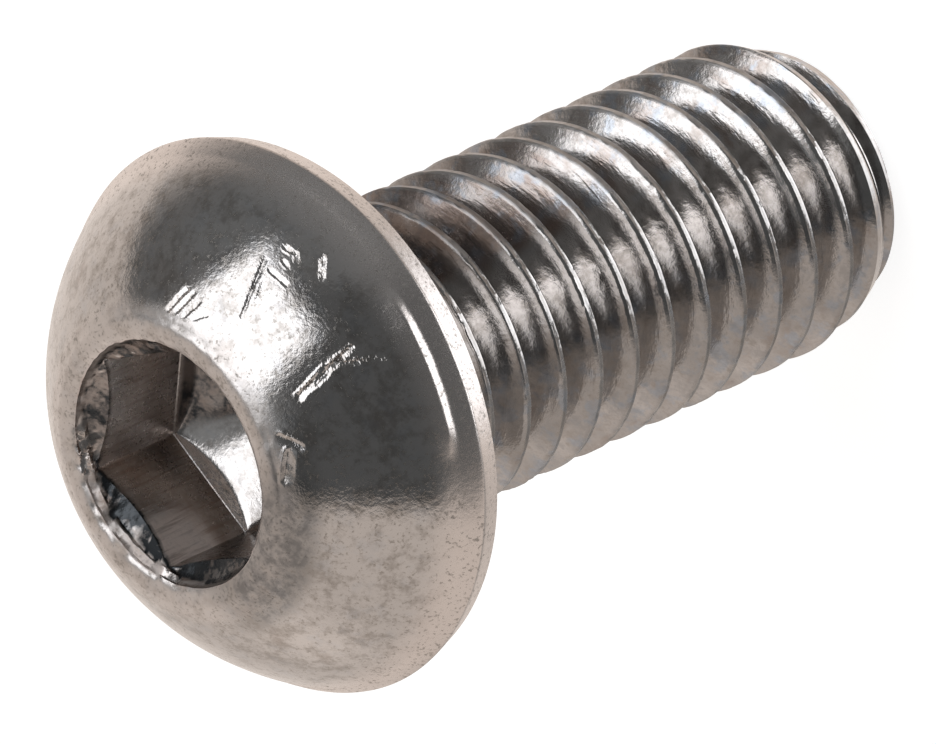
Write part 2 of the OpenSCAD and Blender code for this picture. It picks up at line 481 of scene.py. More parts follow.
def end_face(end_ring, end_points, count):
    """Points and triangles inside that ring: two smaller rings, then the middle."""
    made_points = []
    made = []
    last = end_ring
    for share in (0.7, 0.35):
        inner = count + in_order
        made_points.append(end_points * (share, share, 1))
        made.append(np.concatenate([
            np.stack([last, inner, np.roll(inner, -1)], axis=1),
            np.stack([last, np.roll(inner, -1), np.roll(last, -1)], axis=1),
        ]))
        last = inner
        count += COLUMNS
    made_points.append(np.array([[0, 0, -SHANK_L]]))
    made.append(np.stack([last, np.full(COLUMNS, count), np.roll(last, -1)], axis=1))
    return made_points, made


# %% The whole screw
def build_screw():
    """All points in millimetres, and all triangles as numbers of points."""
    head_count = 1 + head_rings * COLUMNS
    top_ring = (1 + (head_rings - 1) * COLUMNS + in_order)[lattice_columns]
    angle = column_angle[lattice_columns]
    end_ring = head_count + in_order
    end_points = end_face_ring(angle)
    numbers, inside = number_lattice(top_ring, end_ring, head_count + COLUMNS)
    x = (lattice_rad * np.cos(angle))[inside]
    y = (lattice_rad * np.sin(angle))[inside]
    shank_points = np.stack([x, y, lattice_z[inside]], axis=1)

    middle = np.array([[0, 0, floor_z - NOSE_DIP]])
    points = [middle, *rings, end_points, shank_points]
    count = sum(len(part) for part in points)
    face_points, face_triangles = end_face(end_ring, end_points, count)

    triangles = head_triangles() + lattice_triangles(numbers) + face_triangles
    triangles = np.concatenate(triangles)
    # Where rows are gathered onto a ring, some triangles have shrunk to a line
    a, b, c = triangles.T
    triangles = triangles[(a != b) & (b != c) & (c != a)]
    return np.concatenate(points + face_points), triangles


points, triangles = build_screw()
print(f"screw: {len(points)} points, {len(triangles)} triangles")

# %% [markdown]
# ## Finer triangles where the dome is marked
# The scratches on the dome are a tenth of a millimetre wide, which is as wide as the triangles.
# Finer triangles all over would be wasteful, so only those near a scratch are split. Where an
# edge is split, the triangle on its other side is divided too, so that no gap opens.

# %% Split triangles near the marks
def refine(points, triangles, chosen):
    """Halve the edges of the chosen triangles. New points go after the old ones."""
    count = len(points)
    ends = np.stack([triangles, np.roll(triangles, -1, axis=1)], axis=2)
    ends.sort(axis=2)
    edges = ends[:, :, 0] * count + ends[:, :, 1]
    split = np.unique(edges[chosen])
    middles = (points[split // count] + points[split % count]) / 2
    is_split = np.isin(edges, split)
    numbers = count + np.searchsorted(split, edges)
    touched = is_split.any(axis=1)
    made = []
    for corners, halves, cut in zip(triangles[touched], numbers[touched], is_split[touched]):
        loop = []
        for k in range(3):
            loop.append((corners[k], False))
            if cut[k]:
                loop.append((halves[k], True))
        first = next(k for k, (_, is_half) in enumerate(loop) if is_half)
        loop = [number for number, _ in loop[first:] + loop[:first]]
        for k in range(1, len(loop) - 1):
            made.append((loop[0], loop[k], loop[k + 1]))
    triangles = np.concatenate([triangles[~touched], np.array(made)])
    return np.concatenate([points, middles]), triangles


# %% Places on the dome
def onto_dome(points):
    """Move points that lie near the dome's round exactly onto it."""
    out = np.hypot(points[:, 0], points[:, 1])
    away = np.stack([out - dome_centre[0], points[:, 2] - dome_centre[1]], axis=1)
    stretch = DOME_R / np.linalg.norm(away, axis=1)
    round_out = dome_centre[0] + away[:, 0] * stretch
    snapped = points * (round_out / out)[:, None]
    snapped[:, 2] = dome_centre[1] + away[:, 1] * stretch
    return snapped


def on_dome(angle, out):
    """Point of the dome at an angle in degrees round the axis and a distance from it."""
    angle = math.radians(angle)
    up = dome_centre[1] + math.sqrt(DOME_R**2 - (out - dome_centre[0]) ** 2)
    return np.array([out * math.cos(angle), out * math.sin(angle), up])


# %% [markdown]
# ## Scratches on the dome
# Screws are shipped loose in a box, and a corner of one cuts the dome of another. Each scratch is
# given by the places where it starts and ends, as degrees round the axis and millimetres out from
# it, then by its width and depth. A corner that drags cuts one wall steep and the other long. Seen
# along the travel, the long wall is on the left for a lean of 1 and on the right for a lean of -1.

# %% Scratches
SCRATCHES = [
    # One long cut that is crossed by another, with a fine one beside it
    ((-71.0, 5.70), (-76.9, 4.70), 0.17, 0.022, 1),
    ((-73.6, 5.62), (-79.4, 5.63), 0.15, 0.026, 1),
    ((-74.5, 5.40), (-77.0, 5.05), 0.09, 0.012, 1),
    # Short dents beside them, further out
    ((-72.5, 6.03), (-74.6, 6.04), 0.15, 0.036, 1),
    ((-75.4, 6.08), (-77.1, 6.00), 0.14, 0.032, 1),
    ((-74.6, 5.86), (-76.4, 5.84), 0.13, 0.028, 1),
    ((-80.3, 6.31), (-84.5, 6.09), 0.15, 0.038, 1),
    # Four light strokes where a key slipped over the lip
    ((-51.5, 4.01), (-55.5, 4.52), 0.18, 0.030, 1),
    ((-55.0, 4.00), (-58.5, 4.50), 0.16, 0.024, 1),
    ((-59.0, 4.02), (-62.0, 4.43), 0.14, 0.018, 1),
    ((-63.0, 4.05), (-67.0, 4.30), 0.13, 0.014, 1),
    # A broad gouge that forks towards the rim, and a hair line past its end
    ((-106.6, 4.70), (-103.2, 5.35), 0.24, 0.056, -1),
    ((-105.3, 5.10), (-102.2, 5.62), 0.20, 0.046, -1),
    ((-103.0, 5.45), (-101.2, 5.90), 0.16, 0.036, -1),
    ((-103.6, 5.62), (-105.6, 5.95), 0.14, 0.034, -1),
    ((-105.0, 6.00), (-107.8, 6.30), 0.07, 0.012, -1),
    # Two deep dents beside the lip, and a fine one on its far side
    ((-131.0, 3.95), (-121.5, 4.15), 0.32, 0.072, -1),
    ((-116.0, 4.00), (-121.0, 4.35), 0.30, 0.050, -1),
    ((167.1, 4.15), (-174.9, 4.10), 0.12, 0.016, 1),
]
print(len(SCRATCHES), "scratches")

# %% Finer triangles near each scratch
# Millimetres beyond the edge of a scratch that are split as well, and how many times
NEAR = 0.12
SPLITS = 2

for _ in range(SPLITS):
    centres = points[triangles].mean(axis=1)
    chosen = np.zeros(len(triangles), bool)
    for start, end, width, _, _ in SCRATCHES:
        start, end = on_dome(*start), on_dome(*end)
        along = np.clip((centres - start) @ (end - start) / ((end - start) @ (end - start)), 0, 1)
        gap = np.linalg.norm(centres - start - along[:, None] * (end - start), axis=1)
        chosen |= gap < width / 2 + NEAR
    old = len(points)
    points, triangles = refine(points, triangles, chosen)
    points[old:] = onto_dome(points[old:])
print(f"finer near the marks: {len(points)} points, {len(triangles)} triangles")

# %% [markdown]
# ## Wear and handling
# A cold-headed screw is tumbled, shipped in bulk and driven with a key, so nothing on it is
# perfectly smooth. The wear is moved into the mesh along each point's own normal: a slow
# waviness all over, nicks along the crests, torn metal round the mouth, and the scratches.
# Blender's noise gives the same values in each run, so the wear is the same each time too.

# %% Normals, steps and noise
def point_normals(points, triangles):
    """Unit normal of each point, from the areas and directions of its triangles."""
    a, b, c = (points[triangles[:, k]] for k in range(3))
    faces = np.cross(b - a, c - a)
    normals = np.zeros_like(points)
    for k in range(3):
        np.add.at(normals, triangles[:, k], faces)
    return normals / np.maximum(np.linalg.norm(normals, axis=1, keepdims=True), 1e-12)


def ramp(value, start, end):
    """Eased step from 0 at start to 1 at end."""
    share = np.clip((value - start) / (end - start), 0, 1)
    return share * share * (3 - 2 * share)


def noise_at(points, wavelength, seed):
    """Smooth noise from -1 to 1 at each point, with features about one wavelength long."""
    offset = Vector((seed * 17.3, seed * 5.9, seed * 11.1))
    values = [noise.noise(Vector(p) / wavelength + offset) for p in points]
    return np.array(values)


# %% Where each point lies
normals = point_normals(points, triangles)
radius = np.hypot(points[:, 0], points[:, 1])
# This is a column of the points themselves, so it follows them when they move
height = points[:, 2]
# Degrees round the axis, from -180 to 180
bearing = np.degrees(np.arctan2(points[:, 1], points[:, 0]))
on_shank = height < SHANK_START
in_socket = ~on_shank & (radius < mouth_rad + 0.001) & (height > -0.02)
print(f"{on_shank.mean():.0%} of the points on the shank, {in_socket.mean():.0%} in the socket")

# %% Waviness, and nicks along the crests
# Long low waves with shorter ones on them, then nicks of two sizes
wear = 0.010 * noise_at(points, 3.0, 1) + 0.003 * noise_at(points, 0.9, 2)

NICK_DEPTH = 0.012
at_crest = on_shank * ramp(radius, THREAD_RAD - 0.06, THREAD_RAD - 0.02)
nicks = ramp(noise_at(points, 0.6, 3), 0.2, 0.6) + ramp(noise_at(points, 0.2, 4), 0.2, 0.6)
wear -= NICK_DEPTH * at_crest * nicks
print(f"nicks up to {NICK_DEPTH * (at_crest * nicks).max():.3f} deep")

# %% [markdown]
# ## The mouth of the socket
# The punch drags metal with it as it goes in. Round the mouth the steel is uneven, on one side it
# is torn, and on the side that the punch met first it is rough. A key that is turned hard makes
# both worse. The lip keeps small dings from the tumbling, and a shallow groove runs round it,
# where it meets the dome.

# %% Torn and rough metal
MOUTH_FOOT = 3.35
torn = ramp(bearing, 30, 50) * ramp(bearing, 150, 115)
rough_side = ramp(np.abs(bearing), 60, 35)
at_mouth = ramp(radius, 2.6, 2.85) * ramp(radius, 3.32, 3.1) * ramp(height, MOUTH_FOOT, 3.7)
chips = noise_at(points, 0.34, 5) + 0.6 * noise_at(points, 0.17, 6)
wear += at_mouth * (0.010 + 0.050 * torn + 0.030 * rough_side) * chips
print(f"{np.count_nonzero(at_mouth > 0.5)} points in the mouth of the socket")

# %% Dings and groove of the lip
LIP_FOOT = 3.9
at_lip = ramp(radius, 3.1, 3.25) * ramp(radius, 4.0, 3.7) * (height > LIP_FOOT)
wear += at_lip * (0.014 * noise_at(points, 0.35, 11) + 0.007 * noise_at(points, 0.16, 12))

GROOVE_DEPTH = 0.010
GROOVE_REACH = 0.06
lip_groove = np.exp(-((radius - dome_top[0]) / GROOVE_REACH) ** 2) * (height > LIP_FOOT)
wear -= GROOVE_DEPTH * lip_groove * (1 + noise_at(points, 1.2, 7))
print(f"wear so far from {wear.min():.3f} to {wear.max():.3f} mm")

# %% Cut the scratches
def scratch(points, start, end, width, depth, lean):
    """How far one scratch moves each point, in and out, along the point's own normal."""
    way = end - start
    length = np.linalg.norm(way)
    along = (points - start) @ way / length
    inside = np.clip(along, 0, length)
    offset = points - start - inside[:, None] * way / length
    left = np.cross(start / np.linalg.norm(start), way / length)
    gap = np.linalg.norm(offset, axis=1) / (width / 2)
    side = lean * np.sign(offset @ left) * gap
    # From the long wall's rim at 1 to the bottom at -0.5, then up the steep wall to its burr
    furrow = np.interp(side, (-1.6, -1.1, -0.5, 1.0, 1.5), (0, 0.35, -1, 0, 0))
    furrow = np.where(gap < 1.6, furrow, 0)
    past_end = np.abs(along - inside) / (width / 2)
    furrow *= np.clip(1 - past_end, 0, 1)
    taper = 0.5 + 0.5 * np.sin(math.pi * (0.1 + 0.8 * inside / length))
    return depth * taper * furrow


# The places are read with a little noise added, so that no scratch has a ruled edge
STRAY = 0.022
near_top = np.flatnonzero((height > 1.2) & (radius > 3.4))
marked = points[near_top]
strayed = np.stack([noise_at(marked, 0.25, seed) for seed in (8, 9, 10)], axis=1)
marked = marked + STRAY * strayed
uneven = 1 + 0.5 * strayed[:, 0]
for start, end, width, depth, lean in SCRATCHES:
    cut = scratch(marked, on_dome(*start), on_dome(*end), width, depth, lean)
    wear[near_top] += uneven * cut
points += normals * wear[:, None]
print(f"wear from {wear.min():.3f} to {wear.max():.3f} mm")

# %% Push in the edge of the mouth
# The lower edge of its wall hangs over the cone, most where the metal is torn
at_edge = np.exp(-((height - mouth_z) / 0.09) ** 2 - ((radius - mouth_rad) / 0.10) ** 2)
pushed = at_edge * (0.06 + torn * (0.10 + 0.10 * noise_at(points, 0.3, 13)))
points[:, :2] *= (1 - pushed / np.maximum(radius, 1))[:, None]
points[:, 2] += 0.3 * pushed
print(f"edge pushed in by up to {pushed.max():.2f} mm")

# %% The screw in Blender
def make_mesh(name, points, triangles):
    """A smooth-shaded object from points in millimetres."""
    mesh = bpy.data.meshes.new(name)
    mesh.vertices.add(len(points))
    mesh.vertices.foreach_set("co", (points * MM).ravel())
    mesh.loops.add(3 * len(triangles))
    mesh.loops.foreach_set("vertex_index", triangles.ravel())
    mesh.polygons.add(len(triangles))
    mesh.polygons.foreach_set("loop_start", np.arange(0, 3 * len(triangles), 3))
    mesh.update(calc_edges=True)
    mesh.validate()
    mesh.shade_smooth()
    piece = bpy.data.objects.new(name, mesh)
    bpy.context.scene.collection.objects.link(piece)
    return piece


# Edges that turn more than this are shaded sharp, such as those of the hexagon
SHARP = math.radians(38)
screw = make_mesh("dressed_screw", points, triangles)
screw.data.set_sharp_from_angle(angle=SHARP)
print("mesh:", len(screw.data.vertices), "points,", len(screw.data.polygons), "triangles")

# %% [markdown]
# ## Regions of the surface
# Tumbling brightens what sticks out and leaves what it can't reach, and a key rubs what it
# touches. So the finish follows the form, and it can be worked out from where each point lies.
# First the surface is divided into regions. Each is a number from 0 to 1 for each point, and its
# limits are millimetres out from the axis, millimetres up, or degrees round the axis.

# %% Regions of the head and the socket
# Two flats of the hexagon, by the middle of each. A flat reaches 30 degrees to both sides
LIT_FLAT = 90
ROUGH_FLAT = 30
HALF_FLAT = 30
on_rim = ramp(radius, 6.2, 6.75) * (height < 2.2) * ~on_shank
on_lip = ramp(height, 3.9, 4.15) * ~in_socket
on_floor = in_socket & (height < foot_z - 0.02) & (radius < bevel_foot.max() + 0.01)
on_flat = in_socket & ~on_floor & (height > foot_z - 0.01)
# The flat where the light that comes in at the mouth is painted on, lighter towards the mouth
on_lit_flat = on_flat & (np.abs(bearing - LIT_FLAT) < HALF_FLAT)
on_rough = on_flat & (np.abs(bearing - ROUGH_FLAT) < HALF_FLAT)
on_mouth_wall = in_socket & (height > mouth_z - 0.02)
cone_z = mouth_z - (mouth_rad - radius) * math.tan(MOUTH_SLOPE)
on_cone = in_socket & (np.abs(height - cone_z) < 0.02) & (radius > 2.6)
# The corner of the floor where the lubricant has gathered
floor_end = on_floor * ramp(bearing, 61, 52) * ramp(bearing, 0, 20) * ramp(radius, 1.1, 1.4)
print(f"{on_floor.sum()} points on the floor, {on_flat.sum()} on the flats, {on_cone.sum()} on the cone")

# %% Regions of the thread
# From 0 at the crests to 1 at the roots
depth = (THREAD_RAD - radius) / (THREAD_RAD - root_rad)
deep = ramp(depth, 0.5, 1.0)
crest_band = on_shank * ramp(radius, THREAD_RAD - 0.07, THREAD_RAD - 0.03)
seam_share = SEAM_DEPTH / (THREAD_RAD - root_rad)
# The seam of each crest, which gets a line of painted shade
at_seam = on_shank & (np.abs(depth - seam_share) < 0.008)
# The first turns under the head, which are stained and also darkened as painted shade of the head
near_head = ramp(height, -11.0, -3.0)
print(f"{np.mean(crest_band > 0.5):.0%} of the points on the crests")

# %% Sides of the screw
# The thread and the lip are darker on their low side, and the side of the thread that faces the
# camera is painted cleaner and lighter, as a highlight. Each side is given in degrees round the axis
UPPER_SIDE = -35
PAINTED_HIGHLIGHT_SIDE = -108
LOW_SIDE = -168
LOW_LIP = -165


def on_side(side, start, end):
    """From 0 to 1, as the cosine of the angle between a point and a side goes from start to end."""
    return ramp(np.cos(np.radians(bearing - side)), start, end)


upper_side = on_side(UPPER_SIDE, 0.35, 0.75)
# The side that faces the camera, where the thread is painted clean as a highlight
painted_highlight_side = on_shank * on_side(PAINTED_HIGHLIGHT_SIDE, 0.90, 0.97)
low_side = on_side(LOW_SIDE, 0.45, 0.80)
lip_low = ramp(height, 3.5, 3.9) * ~in_socket * on_side(LOW_LIP, 0.65, 0.95)
print(f"low side: {np.mean(low_side > 0.5):.0%} of the points, upper: {np.mean(upper_side > 0.5):.0%}")

# %% [markdown]
# ## Where the steel is stained, matt, bare or sooty, and where light and shade are painted
# Brown stain stays in the roots of the thread and in the socket. The rim and the lip take the
# knocks and turn matt. One flat of the socket is painted lighter towards the mouth, as light that
# comes in there, and black residue of the lubricant fills the torn mouth. Black is also painted
# into the seams of the crests and under the head, as shade. Each finish is stored on the mesh as a
# number for each point, and the material reads it. It could be painted by hand instead, but then
# it would not follow a change of the form.

# %% Stain
# On the shank it grows towards the roots and towards the head, where it is partly painted shade of the
# head, and is rubbed off the crests
stain = 0.18 + 0.20 * deep + 0.55 * near_head * upper_side
# Less stain on the side that faces the camera is a painted highlight
stain -= 0.35 * low_side + 0.30 * crest_band + 0.50 * painted_highlight_side
stain = np.where(on_shank, np.maximum(stain, 0), 0.0)
stain = np.where(in_socket, 0.35, stain)
stain = np.where(on_floor, 0.6 * floor_end, stain)
stain = np.where(on_cone, 0.35 + 0.55 * rough_side, stain)
print(f"stain: mean {stain.mean():.2f}")

# %% Bare steel, and painted light on one flat
# How far across its flat a point lies, from the middle. On one flat, painted light covers one half and
# grows towards the mouth
across_flat = radius * np.sin(np.radians(bearing - LIT_FLAT))
bare_and_lit = on_lit_flat * ramp(across_flat, 0.05, 0.5) * ramp(height, 1.9, 2.9)
bare_and_lit = np.maximum(bare_and_lit, 0.5 * on_rough)
bare_and_lit = np.maximum(bare_and_lit, np.maximum(0.9 * on_rim, 0.3 * on_lip))
bare_and_lit = np.maximum(bare_and_lit, 0.6 * on_mouth_wall)
print(f"bare: mean {bare_and_lit.mean():.2f}")

# %% Matt steel
# The thread is matt in the roots and on the crests, and smoothest in front
matt = 0.15 + 0.20 * deep + 0.25 * near_head * upper_side
matt_crest = crest_band * (0.8 * upper_side + 0.5 * low_side)
matt = np.where(on_shank, np.maximum(matt, matt_crest) * (1 - 0.7 * painted_highlight_side), 0.0)
matt = np.where(in_socket, 0.55, matt)
matt = np.where(on_floor, 0.15, matt)
matt = np.maximum(matt, np.maximum(0.50 * on_rim, 0.65 * on_lip))
matt = np.where(on_mouth_wall, 0.9 - 0.7 * torn, matt)
matt = np.where(on_lit_flat, 0.55 + 1.2 * bare_and_lit, matt)
print(f"matt: mean {matt.mean():.2f}")

# %% Soot, painted shade and pits
# Each region has its own share of black: residue in the socket and the torn mouth, a darker low side,
# and painted shade in the seams of the crests and under the head. Where two meet the darker one wins
soot_and_shade = 1.2 * on_cone * ramp(bearing, 46, 60)
for share in (
    0.75 * on_cone * rough_side,
    0.15 * on_lit_flat * (1 - ramp(bare_and_lit, 0.0, 0.4)),
    0.25 * on_flat * (bearing > 120),
    0.75 * floor_end,
    0.50 * lip_low,
    # On the shank: darker on the low side, and painted shade under the head on the upper side
    np.where(on_shank, 0.30 * low_side + 0.40 * near_head * upper_side, 0),
    # A line of painted shade in the seam of each crest
    0.4 * at_seam * (1 - upper_side),
):
    soot_and_shade = np.maximum(soot_and_shade, share)
# Fewer pits on the side that faces the camera, as part of its painted highlight
pitted = np.where(on_shank, 0.25 * (1 - painted_highlight_side), np.where(in_socket, 0.15 * ~on_floor, 1.0))
print(f"soot: mean {soot_and_shade.mean():.2f}")


# %% Store the finishes on the mesh
def store(mesh, name, values):
    """Keep one number for each point of the mesh, under a name."""
    attribute = mesh.attributes.new(name, "FLOAT", "POINT")
    attribute.data.foreach_set("value", values.astype(np.float32))


# On the side that faces the camera the streaks of rolling and their blue tint are left out, as
# part of its painted highlight. Below 0 there is none of either
rolled = on_shank * (1 - 1.3 * painted_highlight_side)

for name, values in (
    ("matt", matt),
    ("stain", stain),
    ("bare_and_lit", bare_and_lit),
    ("soot_and_shade", soot_and_shade),
    ("pitted", pitted),
    ("pressed", on_flat),
    ("rolled", rolled),
):
    store(screw.data, name, np.asarray(values, float))
    print(f"{name} on {np.mean(np.asarray(values) > 0.05):.0%} of the points")

# %% [markdown]
# ## Stainless steel
# Bare stainless steel is a mirror that has been roughened by tumbling, so its colour comes almost
# wholly from what it reflects. Blender's Principled shader gives that with metallic at 1. The
# small helper below adds a node and fills its inputs in order, to keep the recipes short.

# %% Helpers for nodes
def node(tree, kind, *inputs, **settings):
    """Add a node and return its first output. Each input is a value or another node's output."""
    made = tree.nodes.new("ShaderNode" + kind)
    for name, value in settings.items():
        setattr(made, name, value)
    for socket, value in zip(made.inputs, inputs):
        if isinstance(value, bpy.types.NodeSocket):
            tree.links.new(value, socket)
        elif value is not None:
            socket.default_value = value
    return made.outputs[0]


def calc(tree, operation, *inputs):
    """A Math node."""
    return node(tree, "Math", *inputs, operation=operation)


def ease(tree, value, start, end, low=0.0, high=1.0):
    """Value eased from low to high as it goes from start to end."""
    return node(tree, "MapRange", value, start, end, low, high, interpolation_type="SMOOTHSTEP")


def mix(tree, share, first, second):
    """A colour between first and second."""
    made = tree.nodes.new("ShaderNodeMix")
    made.data_type = "RGBA"
    for socket, value in (("Factor_Float", share), ("A_Color", first), ("B_Color", second)):
        target = next(s for s in made.inputs if s.identifier == socket)
        if isinstance(value, bpy.types.NodeSocket):
            tree.links.new(value, target)
        else:
            target.default_value = value
    return next(s for s in made.outputs if s.identifier == "Result_Color")


def dot(tree, vector, axis):
    """How far a vector points along an axis."""
    made = node(tree, "VectorMath", vector, tuple(axis), operation="DOT_PRODUCT")
    return made.node.outputs["Value"]


def grain(tree, place, scale, detail=2.0, roughness=0.5):
    """Cloudy noise from 0 to 1. Scale is in features per millimetre."""
    made = tree.nodes.new("ShaderNodeTexNoise")
    tree.links.new(place, made.inputs["Vector"])
    made.inputs["Scale"].default_value = scale
    made.inputs["Detail"].default_value = detail
    made.inputs["Roughness"].default_value = roughness
    return made.outputs["Fac"]


# %% [markdown]
# ## The patterns in the steel
# From close by, tumbled stainless steel is not one even grey. It has soft dull clouds, a fine
# mottle, streaks along the way it was rolled or pressed, and small dark pits in loose clusters.
# Each is a noise with its own size. They are made once and used for the colour, the roughness
# and the relief alike, because a real pit is dark, rough and deep in one place.

# %% Patterns
def stretched(tree, place, along_xy, along_z):
    """The place, squeezed so that noise read from it comes out long in one direction."""
    return node(tree, "VectorMath", place, (along_xy, along_xy, along_z), operation="MULTIPLY")


def attribute(tree, name):
    """One of the numbers stored on the mesh."""
    return node(tree, "Attribute", attribute_name=name).node.outputs["Fac"]


def patterns(tree):
    """The noises of the steel, by name. They stay with the screw when it moves."""
    place = node(tree, "TexCoord").node.outputs["Object"]
    place = node(tree, "VectorMath", place, None, None, 1 / MM, operation="SCALE")
    return {
        "clouds": grain(tree, place, 1.1, 3.0),
        "hues": grain(tree, place, 1.7, 3.0, 0.6),
        "blotches": grain(tree, place, 2.4, 3.0, 0.6),
        "mottle": grain(tree, place, 6.0, 4.0, 0.65),
        "specks": grain(tree, place, 11.0, 2.0, 0.6),
        "rolling": grain(tree, stretched(tree, place, 0.4, 5.0), 1.6, 3.0, 0.6),
        "pressing": grain(tree, stretched(tree, place, 6.0, 0.5), 1.6, 3.0, 0.6),
    }


# %% Streaks and pits
def streaks_in(tree, pattern):
    """Streaks round the thread from rolling, and up the flats of the socket from the punch."""
    rolling = ease(tree, pattern["rolling"], 0.45, 0.75)
    rolling = calc(tree, "MULTIPLY", rolling, attribute(tree, "rolled"))
    pressing = ease(tree, pattern["pressing"], 0.45, 0.7)
    pressing = calc(tree, "MULTIPLY", pressing, attribute(tree, "pressed"))
    return calc(tree, "MAXIMUM", rolling, pressing)


def pits_in(tree, pattern):
    """Small dark pits, which stand closer together where the blotches are strong."""
    specks = calc(tree, "MULTIPLY", pattern["specks"], 0.9)
    clustered = calc(tree, "MULTIPLY_ADD", pattern["blotches"], 0.35, specks)
    strength = calc(tree, "MULTIPLY", attribute(tree, "pitted"), 0.8)
    return calc(tree, "MULTIPLY", ease(tree, clustered, 0.66, 0.82), strength)


# %% Colour of the steel
BRIGHT = (0.66, 0.63, 0.61, 1)
DULL = (0.42, 0.39, 0.365, 1)
STAIN = (0.42, 0.34, 0.30, 1)
BLUED = (0.46, 0.51, 0.58, 1)
# Bare steel, and the painted light on one flat of the socket
BARE_AND_LIT = (0.86, 0.79, 0.75, 1)
PIT = (0.40, 0.37, 0.34, 1)
# Black, for residue and for painted shade
SOOT_AND_SHADE = (0.065, 0.07, 0.075, 1)


def steel_colour(tree, pattern, streaks, pits):
    """Bright steel with dull patches, then each finish laid over the one before it."""
    clouds, blotches, mottle = pattern["clouds"], pattern["blotches"], pattern["mottle"]
    dulled = calc(tree, "MULTIPLY_ADD", blotches, 0.7, calc(tree, "MULTIPLY", mottle, 0.6))
    dulled = calc(tree, "MULTIPLY_ADD", clouds, 0.5, dulled)
    colour = mix(tree, ease(tree, dulled, 0.80, 1.12, 0.0, 0.9), BRIGHT, DULL)

    clouded = calc(tree, "MULTIPLY_ADD", clouds, 1.4, -0.70)
    stained = calc(tree, "ADD", attribute(tree, "stain"), clouded)
    stained = calc(tree, "MULTIPLY_ADD", streaks, 0.35, stained)
    colour = mix(tree, ease(tree, stained, 0.1, 0.9), colour, STAIN)

    blued = calc(tree, "MULTIPLY_ADD", attribute(tree, "rolled"), 0.5, 0.15)
    blued = calc(tree, "MULTIPLY", blued, ease(tree, pattern["hues"], 0.5, 0.66))
    colour = mix(tree, blued, colour, BLUED)

    # Bare steel, with painted light on one flat of the socket
    unstreaked = calc(tree, "MULTIPLY_ADD", streaks, -0.6, 1.0)
    rubbed_and_lit = calc(tree, "MULTIPLY", attribute(tree, "bare_and_lit"), unstreaked)
    colour = mix(tree, rubbed_and_lit, colour, BARE_AND_LIT)
    colour = mix(tree, pits, colour, PIT)

    # Black residue and painted shade over everything else
    patchy = calc(tree, "MULTIPLY_ADD", blotches, 0.6, calc(tree, "MULTIPLY", mottle, 0.4))
    patchy = ease(tree, patchy, 0.38, 0.62, 1.4, 0.5)
    sooty_and_shaded = calc(tree, "MULTIPLY", attribute(tree, "soot_and_shade"), patchy)
    return mix(tree, calc(tree, "MINIMUM", sooty_and_shaded, 1.0), colour, SOOT_AND_SHADE)


# %% Roughness and relief of the steel
POLISHED = 0.05
RELIEF = 0.006


def steel_roughness(tree, pattern, pits):
    """Polished steel, roughened where it is matt, and a little more by the mottle and the pits."""
    rough = calc(tree, "MULTIPLY_ADD", attribute(tree, "matt"), 0.34, POLISHED)
    rough = calc(tree, "MULTIPLY_ADD", pattern["mottle"], 0.08, rough)
    return calc(tree, "MULTIPLY_ADD", pits, 0.25, rough)


def steel_relief(tree, pattern, streaks):
    """Normal of the finest bumps, which are too small to be worth having in the mesh."""
    relief = calc(tree, "MULTIPLY_ADD", pattern["specks"], -0.35, pattern["mottle"])
    relief = calc(tree, "MULTIPLY_ADD", streaks, 0.5, relief)
    bump = tree.nodes.new("ShaderNodeBump")
    bump.inputs["Strength"].default_value = 1
    bump.inputs["Distance"].default_value = RELIEF * MM
    tree.links.new(relief, bump.inputs["Height"])
    return bump.outputs[0]


# %% Steel
def steel():
    """Tumbled stainless steel, with matt, stained, bare and sooty places from the mesh, and light and
    shade painted into some of them.
    """
    material = bpy.data.materials.new("stainless_steel")
    material.use_nodes = True
    tree = material.node_tree
    tree.nodes.clear()
    pattern = patterns(tree)
    streaks = streaks_in(tree, pattern)
    pits = pits_in(tree, pattern)

    shader = tree.nodes.new("ShaderNodeBsdfPrincipled")
    shader.inputs["Metallic"].default_value = 1
    colour = steel_colour(tree, pattern, streaks, pits)
    tree.links.new(colour, shader.inputs["Base Color"])
    tree.links.new(steel_roughness(tree, pattern, pits), shader.inputs["Roughness"])
    tree.links.new(steel_relief(tree, pattern, streaks), shader.inputs["Normal"])
    output = tree.nodes.new("ShaderNodeOutputMaterial")
    tree.links.new(shader.outputs[0], output.inputs[0])
    return material


screw.data.materials.append(steel())
nodes = screw.data.materials[0].node_tree.nodes
print(f"material {screw.data.materials[0].name}: {len(nodes)} nodes")

# %% [markdown]
# ## The studio
# A mirror shows the room, so the room is the most important lamp. Small metal parts are shot
# between two softboxes, with a pale table below and dark card in front, to give bright and dark
# bands that describe the form. The flanks of the thread face one another, so a ray bounces from
# one to the next there, and the softbox on the right shows up on the left of each ridge. Here the
# room is painted on the world, in degrees to the right of the camera and degrees above it, as if
# the screw looked out at the studio. Lamps would do as well, but a painted panel can't be in the
# way of the camera.

# %% Panels of the studio
WHITE = (0.985, 1.0, 1.03)
WARM = (1.0, 0.90, 0.83)
GREY = (1.0, 0.95, 0.91)
COOL = (0.95, 0.98, 1.0)
ROOM = 0.15
# The table fills all directions below its own plane, which leans towards the camera
TABLE_UP = (0.08, 0.70, 0.70)
TABLE_LEVEL = 0.61
